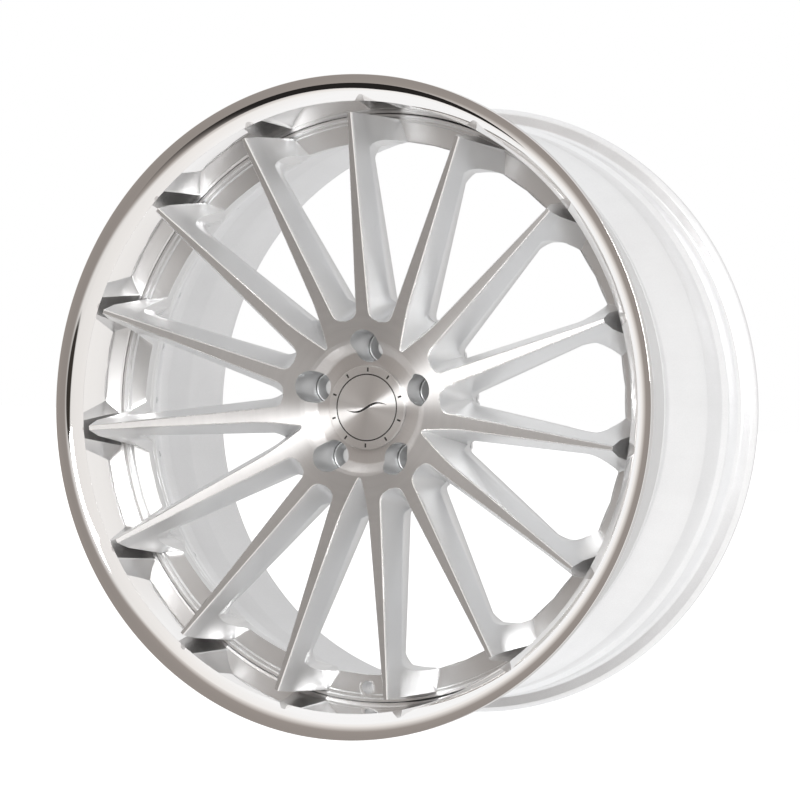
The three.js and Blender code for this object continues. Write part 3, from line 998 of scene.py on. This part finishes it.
class WHEEL_OT_inner_barrel(bpy.types.Operator):
    """Turn the painted inner barrel with its drop centre, safety hump and rear flange"""
    bl_idname = "wheel.inner_barrel"
    bl_label = "Inner barrel"

    def execute(self, context):
        front, rear = depth_span("inner_barrel")
        corners = [
            (JOINT_BORE, front, 0.4), (JOINT_RADIUS, front, 0.5), (JOINT_RADIUS, 99.0, 6.0),
            (262.0, 127.0, 14.0), (262.0, 138.0, 14.0), (274.0, 186.0, 20.0),
            (277.0, 200.0, 12.0), (277.0, 240.0, 4.0), (HUMP_RADIUS, 246.0, 3.0),
            (HUMP_RADIUS, 250.0, 3.0), (SEAT_RADIUS, 255.0, 3.0), (SEAT_END, rear - 16, 5.0),
            (283.0, rear - 12.15, 3.0), (292.0, rear - 11.15, 3.0),
            (FLANGE_RADIUS, rear - 8, 3.0), (FLANGE_RADIUS, rear - 3, 3.0), (293.5, rear, 2.0),
            (285.0, rear, 4.0), (280.0, rear - 2.5, 5.0), (272.0, rear - 22, 14.0),
            (271.5, 203.0, 30.0), (257.5, 139.0, 14.0), (257.5, 124.0, 10.0),
            (263.5, 110.0, 5.0), (263.5, 98.3, 2.0), (JOINT_BORE, 98.3, 0.6),
        ]
        finish_list = finish_set("barrel_paint", "silver_paint")
        barrel = turned_part("painted_barrel", [(*corner, 0) for corner in corners], finish_list,
                             sizes().rim_steps, 9.0)
        drill_half(barrel, 80, 101.5, finish_list)
        settle(barrel, RIM_BODY, "silver_paint", "inner_barrel")
        return {"FINISHED"}


class WHEEL_OT_rim_hardware(bpy.types.Operator):
    """Make the rim seal and the thirty twelve-point rim bolts"""
    bl_idname = "wheel.rim_hardware"
    bl_label = "Seal and rim bolts"

    def execute(self, context):
        low, high = depth_span("rim_seal")
        corners = [(267.0, low, 0.5, 0), (269.4, low, 0.5, 0), (269.4, high, 0.5, 0),
                   (267.0, high, 0.5, 0)]
        seal = turned_part("rim_seal_cord", corners, finish_set("seal_rubber"), 240, 20.0)
        settle(seal, RIM_BODY, "seal_rubber", "rim_seal")
        tip, top = depth_span(BOLT_NODES[0])
        seat = top - 6.5
        rows = [(0, tip), (2.6, tip), (3.3, tip + 0.8), (3.3, seat - 0.3), (3.6, seat),
                (5.7, seat), (5.75, seat + 1.2), (5.2, seat + 1.6), (4.7, seat + 1.8, 1),
                (4.75, top - 0.7, 1), (4.3, top, 1), (2.6, top), (2.3, top - 0.8), (0, top - 1.0)]
        bolts = pins("rim_bolt_set", rows, BOLT_CIRCLE, angles_of(BOLT_NODES),
                     finish_set("zinc_steel"), 0, 72, lobes=12, lobe_depth=0.055)
        settle(bolts, RIM_BODY, "zinc_steel", *BOLT_NODES)
        return {"FINISHED"}


class WHEEL_OT_hub_fittings(bpy.types.Operator):
    """Make the lug seats and the hub centring ring"""
    bl_idname = "wheel.hub_fittings"
    bl_label = "Lug seats and centring ring"

    def execute(self, context):
        top, bottom = depth_span(SEAT_NODES[0])
        outer = LUG_POCKET_RADIUS - 0.4
        profile, _ = rounded([(LUG_HOLE_RADIUS, bottom, 0.2, 0), (13.0, bottom, 0.5, 0),
                              (outer, bottom - 2, 0.4, 0), (outer, top, 0.5, 0),
                              (12.8, top, 0.5, 0), (LUG_HOLE_RADIUS, top + 5.8, 0.6, 0)])
        seats = pins("lug_seat_set", profile, LUG_CIRCLE, angles_of(SEAT_NODES),
                     finish_set("zinc_steel"), 0, 64, closed=True)
        settle(seats, RIM_BODY, "zinc_steel", *SEAT_NODES)
        low, high = depth_span("centring_ring")
        bore = 33.3
        outer = REAR_BORE - 0.3
        collar = outer + 1.5
        corners = [(bore, low, 0.6, 0), (outer, low, 0.5, 0), (outer, high - 1.7, 0.2, 0),
                   (collar, high - 0.1, 0.2, 0), (collar, high, 0.1, 0), (bore, high, 0.6, 0)]
        ring = turned_part("hub_centring_ring", corners, finish_set("black_nylon"), 160)
        settle(ring, ADAPTER_BODY, "black_nylon", "centring_ring")
        return {"FINISHED"}


# ---------------------------------------------------------------- centre cap

CAP_FINISHES = ("spun_face", "black_fill")
TICK_COUNT = 10
TICK_HALF_WIDTH = 0.8
TICK_RADII = (32.7, 36.4)
CLAW_COUNT = 6
CLAW_GAP = 3.0


def groove_tool(name, outline, angles, depth_from, depth_to):
    """Small straight-sided cuts: an outline of (across, radius) points at each angle."""
    across, up = np.array(outline, float).T
    count = len(across)
    ring = np.arange(count)
    after = (ring + 1) % count
    prism = [
        *np.stack([ring, after, count + after, count + ring], 1).tolist(),
        ring.tolist(),
        (count + ring[::-1]).tolist(),
    ]
    points, faces = [], []
    for k, angle in enumerate(angles):
        for depth in (depth_from, depth_to):
            points.extend(at_angles(across, up, np.full(count, depth), [angle]))
        faces.extend([corner + 2 * k * count for corner in face] for face in prism)
    return mesh_object(name, np.concatenate(points), faces, np.ones(len(faces)),
                       finish_set(*CAP_FINISHES))


def full_turn(count):
    return [k * 2 * math.pi / count for k in range(count)]


def box_outline(half_width, inner, outer):
    return [(-half_width, inner), (half_width, inner), (half_width, outer), (-half_width, outer)]


def wave_outline(half_length, half_width, swing, count):
    """A slim wave: half_width (1 - t^2) to both sides of the line swing sin(pi t)."""
    t = np.linspace(-1, 1, count)
    width = half_width * (1 - t * t)
    line = swing * np.sin(math.pi * t)
    upper = np.stack([t * half_length, line + width], 1)
    lower = np.stack([t * half_length, line - width], 1)
    return np.concatenate([upper, lower[::-1][1:-1]])


def cap_bezel(front):
    back = depth_span("cap_bezel")[1]
    outer = outer_radius("cap_bezel")
    inner = outer_radius("cap_medallion") + 0.3
    corners = [(inner, front + 0.25, 0.1, 1), (inner + 0.3, front, 0.1, 0),
               (outer - 0.6, front, 0.4, 0), (outer, front + 0.6, 0.4, 0),
               (outer, back, 0.1, 1), (inner, back, 0.1, 1)]
    bezel = turned_part("cap_bezel_ring", corners, finish_set(*CAP_FINISHES), 240)
    ticks = box_outline(TICK_HALF_WIDTH, *TICK_RADII)
    cut(bezel, groove_tool("ticks", ticks, full_turn(TICK_COUNT), front - 1, front + 0.35))
    settle(bezel, CAP_BODY, "spun_cap", "cap_bezel")


def cap_medallion(front):
    back = depth_span("cap_medallion")[1]
    outer = outer_radius("cap_medallion")
    corners = [(0.0, front, 0, 0), (outer - 0.5, front, 0.2, 1), (outer, front + 0.35, 0.1, 1),
               (outer, back, 0.1, 1), (0.0, back, 0, 0)]
    medallion = turned_part("cap_medallion_disc", corners, finish_set(*CAP_FINISHES), 240,
                            closed=False)
    wave = wave_outline(21.0, 1.1, 3.0, 49)
    cut(medallion, groove_tool("wave", wave, [math.radians(-8)], front - 1, front + 0.3))
    settle(medallion, CAP_BODY, "spun_cap", "cap_medallion")


def cap_shell():
    low, high = depth_span("cap_body")
    neck = outer_radius("cap_medallion")
    skirt = outer_radius("cap_body")
    wall = skirt - 2.6
    roof = 64.0
    corners = [(0.0, low, 0, 0), (neck, low, 0.1, 0), (neck, HUB_FLOOR_DEPTH, 0.2, 0),
               (skirt, HUB_FLOOR_DEPTH, 0.3, 0), (skirt - 0.8, 72.0, 2.0, 0),
               (skirt, 77.0, 0.6, 0), (skirt - 1.6, high, 0.4, 0), (wall, high, 0.4, 0),
               (wall, roof, 1.5, 0), (0.0, roof, 0, 0)]
    nylon = finish_set("black_nylon", "black_nylon")
    shell = turned_part("cap_shell", corners, nylon, 160, closed=False)
    slot = box_outline(CLAW_GAP / 2, 20.0, 40.0)
    cut(shell, groove_tool("claw_slots", slot, full_turn(CLAW_COUNT), 68, 90))
    settle(shell, CAP_BODY, "black_nylon", "cap_body")


def cap_spring():
    """The wire ring inside the claws: a circle carried round the axis."""
    low, high = depth_span("cap_spring_ring")
    wire = (high - low) / 2
    ring_radius = outer_radius("cap_spring_ring") - wire
    a = np.linspace(0, 2 * math.pi, 16, endpoint=False)
    profile = np.stack([ring_radius + wire * np.cos(a), (low + high) / 2 + wire * np.sin(a)], 1)
    ring = turned("cap_spring_wire", profile, np.zeros(16), finish_set("spring_steel"), 160)
    settle(ring, CAP_BODY, "spring_steel", "cap_spring_ring")


class WHEEL_OT_centre_cap(bpy.types.Operator):
    """Make the centre cap: bezel, medallion, shell with claws and spring ring"""
    bl_idname = "wheel.centre_cap"
    bl_label = "Centre cap"

    def execute(self, context):
        front = depth_span("cap_bezel")[0]
        cap_bezel(front)
        cap_medallion(front)
        cap_shell()
        cap_spring()
        return {"FINISHED"}


# ---------------------------------------------------------------- studio

CAMERA_TURN = math.radians(25.73)
CAMERA_LIFT = math.radians(0.06)
CAMERA_ROLL = math.radians(1.84)
CAMERA_DISTANCE = 2.555
CAMERA_LENS = 122.7
CAMERA_TARGET = (-5.9 * MM, 7.7 * MM, -4.6 * MM)     # right, up, along the wheel axis
KEY_PLACE = (1.17, -2.18, 0.80)
KEY_SIZE = (0.7, 1.15)
KEY_POWER = 32
FLOOR_HALF = 30.0
FLOOR_GLOW = 0.6


def place_camera():
    """A long lens at hub height, turned so that the barrel shows on the right."""
    ahead = Vector((-math.sin(CAMERA_TURN) * math.cos(CAMERA_LIFT),
                    math.cos(CAMERA_TURN) * math.cos(CAMERA_LIFT),
                    -math.sin(CAMERA_LIFT)))
    right = Vector((math.cos(CAMERA_TURN), math.sin(CAMERA_TURN), 0))
    up = right.cross(ahead)
    tilted_right = right * math.cos(CAMERA_ROLL) + up * math.sin(CAMERA_ROLL)
    tilted_up = up * math.cos(CAMERA_ROLL) - right * math.sin(CAMERA_ROLL)
    shift_right, shift_up, along = CAMERA_TARGET
    target = right * shift_right + up * shift_up + Vector((0, along, 0))
    data = bpy.data.cameras.new("studio_camera")
    data.lens = CAMERA_LENS
    data.sensor_width = 36.0
    camera = new_object("studio_camera", data)
    turn = Matrix((tilted_right, tilted_up, -ahead)).transposed()
    camera.matrix_world = Matrix.Translation(target - ahead * CAMERA_DISTANCE) @ turn.to_4x4()
    bpy.context.scene.camera = camera


def key_light():
    """The soft box beside the camera, aimed at the wheel's middle."""
    data = bpy.data.lights.new("key_box", "AREA")
    data.shape = "RECTANGLE"
    data.size, data.size_y = KEY_SIZE
    data.energy = KEY_POWER
    lamp = new_object("key_box", data)
    turn = (-Vector(KEY_PLACE)).to_track_quat("-Z", "Y").to_matrix().to_4x4()
    lamp.matrix_world = Matrix.Translation(KEY_PLACE) @ turn


WHITE = (1.0, 1.0, 1.0, 1)
FRONT_SHADES = [
    # how far towards the front, from beside (0) to straight ahead (1), and the colour there
    (0.0, WHITE),
    (0.25, WHITE),
    (0.48, (0.92, 0.89, 0.86, 1)),
    (0.66, (0.62, 0.58, 0.55, 1)),
    (0.78, (0.34, 0.305, 0.28, 1)),
    (1.0, (0.30, 0.27, 0.25, 1)),
]
SIDE_SHADE = (0.90, 0.88, 0.86, 1)
STRIP_SHADE = (0.02, 0.018, 0.017, 1)
REAR_SHADE = (0.60, 0.59, 0.585, 1)
GAP_SHADE = (0.04, 0.035, 0.03, 1)
GAP_WAY = (0.43, -0.90, -0.05)       # direction of the dark gap in the tent
DIFFUSE_WHITENING = 0.6              # matt surfaces see a whiter but weaker tent
DIFFUSE_DIMMING = -0.25


def studio_world():
    """A white tent with a darker, warmer front, which only bright metal shows.

    The colour follows the direction: a ramp towards the front, then a light side on the right,
    a dark strip low on the left, a grey rear and a dark gap beside the camera.
    """
    world = bpy.data.worlds.new("studio")
    bpy.context.scene.world = world
    world.use_nodes = True
    net = Net(world.node_tree)
    way = net.add("ShaderNodeTexCoord").outputs["Generated"]
    parts = net.add("ShaderNodeSeparateXYZ", Vector=way).outputs
    ahead = net.maths("MULTIPLY", parts["Y"], -1.0)
    ramp = net.add("ShaderNodeValToRGB", Fac=ahead)
    elements = ramp.color_ramp.elements
    while len(elements) < len(FRONT_SHADES):
        elements.new(0.5)
    for element, (position, colour) in zip(elements, FRONT_SHADES):
        element.position = position
        element.color = colour
    low_front = net.maths("MULTIPLY", net.maths("COMPARE", parts["Z"], -0.57, 0.15),
                          net.maths("GREATER_THAN", ahead, 0.45))
    strip = net.maths("MULTIPLY", low_front, net.eased_rise(parts["X"], 0.15, -0.25))
    toward_gap = net.add("ShaderNodeVectorMath", {"operation": "DOT_PRODUCT"})
    net.feed(toward_gap.inputs[0], way)
    toward_gap.inputs[1].default_value = GAP_WAY
    path = net.add("ShaderNodeLightPath").outputs
    layers = [
        (net.eased_rise(parts["X"], 0.1, 0.36, 0.85), SIDE_SHADE),
        (strip, STRIP_SHADE),
        (net.eased_rise(parts["Y"], 0.70, 0.92, 0.9), REAR_SHADE),
        (net.eased_rise(toward_gap.outputs["Value"], 0.975, 0.988), GAP_SHADE),
        (net.maths("MULTIPLY", path["Is Diffuse Ray"], DIFFUSE_WHITENING), WHITE),
        (path["Is Camera Ray"], WHITE),
    ]
    tent = ramp.outputs[0]
    for amount, colour in layers:
        tent = net.blend(amount, tent, colour)
    strength = net.maths("MULTIPLY_ADD", path["Is Diffuse Ray"], DIFFUSE_DIMMING, 1.0)
    net.wire(world.node_tree.nodes["Background"], Color=tent, Strength=strength)


def studio_floor():
    """A wide white floor just below the wheel, which the metal doesn't mirror."""
    low = OUTER_HALF_LOW[2] - 0.5 * MM
    corners = [(x * FLOOR_HALF, y * FLOOR_HALF, low) for x, y in ((-1, -1), (1, -1), (1, 1), (-1, 1))]
    mesh = bpy.data.meshes.new("floor")
    mesh.from_pydata(corners, [], [(0, 1, 2, 3)])
    material, net, shader = new_finish("studio_floor")
    net.wire(shader, Base_Color=(*finishes().floor, 1), Roughness=0.9, Specular_IOR_Level=0.0,
             Emission_Color=WHITE, Emission_Strength=FLOOR_GLOW)
    mesh.materials.append(material)
    floor = new_object("floor", mesh)
    floor.visible_glossy = False


class WHEEL_OT_studio(bpy.types.Operator):
    """Set up the floor, the soft light and the camera"""
    bl_idname = "wheel.studio"
    bl_label = "Studio"

    def execute(self, context):
        place_camera()
        studio_world()
        studio_floor()
        key_light()
        context.scene.view_settings.view_transform = "Standard"
        return {"FINISHED"}


# ---------------------------------------------------------------- add-on

OPERATORS = (
    WHEEL_OT_studio,
    WHEEL_OT_forged_centre,
    WHEEL_OT_outer_half,
    WHEEL_OT_inner_barrel,
    WHEEL_OT_rim_hardware,
    WHEEL_OT_hub_fittings,
    WHEEL_OT_centre_cap,
)


class WHEEL_PT_parts(bpy.types.Panel):
    """Lists the wheel's values and the steps that build it"""
    bl_label = "Forged wheel"
    bl_idname = "WHEEL_PT_parts"
    bl_space_type = "VIEW_3D"
    bl_region_type = "UI"
    bl_category = "Wheel"

    def draw(self, context):
        for group in (context.scene.wheel_sizes, context.scene.wheel_finishes):
            for key in group.bl_rna.properties.keys():
                if key not in {"rna_type", "name"}:
                    self.layout.prop(group, key)
        for operator in OPERATORS:
            self.layout.operator(operator.bl_idname)


CLASSES = (WheelSizes, WheelFinishes, *OPERATORS, WHEEL_PT_parts)


def register():
    for cls in CLASSES:
        bpy.utils.register_class(cls)
    bpy.types.Scene.wheel_sizes = PointerProperty(type=WheelSizes)
    bpy.types.Scene.wheel_finishes = PointerProperty(type=WheelFinishes)


def unregister():
    del bpy.types.Scene.wheel_finishes
    del bpy.types.Scene.wheel_sizes
    for cls in reversed(CLASSES):
        bpy.utils.unregister_class(cls)


def main():
    register()
    for operator in OPERATORS:
        group, name = operator.bl_idname.split(".")
        getattr(getattr(bpy.ops, group), name)()


if __name__ == "__main__":
    main()
